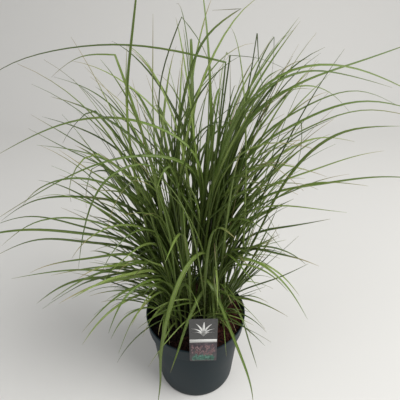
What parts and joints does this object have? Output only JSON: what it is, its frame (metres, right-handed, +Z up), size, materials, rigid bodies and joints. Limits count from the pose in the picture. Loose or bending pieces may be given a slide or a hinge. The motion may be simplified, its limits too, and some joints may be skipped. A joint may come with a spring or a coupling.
{
  "type": "potted ornamental grass clump",
  "caption": "Fountain-shaped clump of long, narrow, arching grass leaves rooted in a round tapered nursery pot, with bark mulch on the soil and a plain plant label hooked over the rim.",
  "frame": {"origin": "middle of the pot's flat base, on the surface it stands on", "axes": "+Z up along the pot's axis; -Y towards the side that carries the label; +X to the label's right as seen from in front of it"},
  "size_m": [0.8526, 0.576, 0.9381],
  "materials": {
    "pot": "smooth moulded polypropylene, dark slate blue-grey, semi-matt",
    "soil": "moist dark peat compost with roots, fully rough",
    "bark": "loose reddish-brown bark chips, rough",
    "label": null,
    "leaf": "living grass blade, mid green with a pale midrib and fine parallel veins, slight sheen, tips drying grey-brown"
  },
  "bodies": {
    "root": {"bark_mulch": "bark", "label": "label", "pot": "pot", "root_ball": "soil", "shoot_back_01": "leaf", "shoot_back_02": "leaf", "shoot_back_03": "leaf", "shoot_back_04": "leaf", "shoot_back_05": "leaf", "shoot_centre_01": "leaf", "shoot_centre_02": "leaf", "shoot_centre_03": "leaf", "shoot_front_01": "leaf", "shoot_front_02": "leaf", "shoot_front_03": "leaf", "shoot_front_04": "leaf", "shoot_front_05": "leaf", "shoot_front_06": "leaf", "shoot_front_07": "leaf", "shoot_left_01": "leaf", "shoot_left_02": "leaf", "shoot_left_03": "leaf", "shoot_left_04": "leaf", "shoot_left_05": "leaf", "shoot_left_06": "leaf", "shoot_left_07": "leaf", "shoot_left_08": "leaf", "shoot_left_09": "leaf", "shoot_left_10": "leaf", "shoot_left_11": "leaf", "shoot_left_12": "leaf", "shoot_left_13": "leaf", "shoot_left_14": "leaf", "shoot_left_15": "leaf", "shoot_left_16": "leaf", "shoot_left_17": "leaf", "shoot_left_18": "leaf", "shoot_left_19": "leaf", "shoot_left_20": "leaf", "shoot_right_01": "leaf", "shoot_right_02": "leaf", "shoot_right_03": "leaf", "shoot_right_04": "leaf", "shoot_right_05": "leaf", "shoot_right_06": "leaf", "shoot_right_07": "leaf", "shoot_right_08": "leaf", "shoot_right_09": "leaf", "shoot_right_10": "leaf", "shoot_right_11": "leaf", "shoot_right_12": "leaf", "shoot_right_13": "leaf", "shoot_right_14": "leaf", "shoot_right_15": "leaf", "shoot_right_16": "leaf", "shoot_right_17": "leaf", "shoot_right_18": "leaf", "shoot_right_19": "leaf", "shoot_right_20": "leaf"}
  },
  "joints": []
}
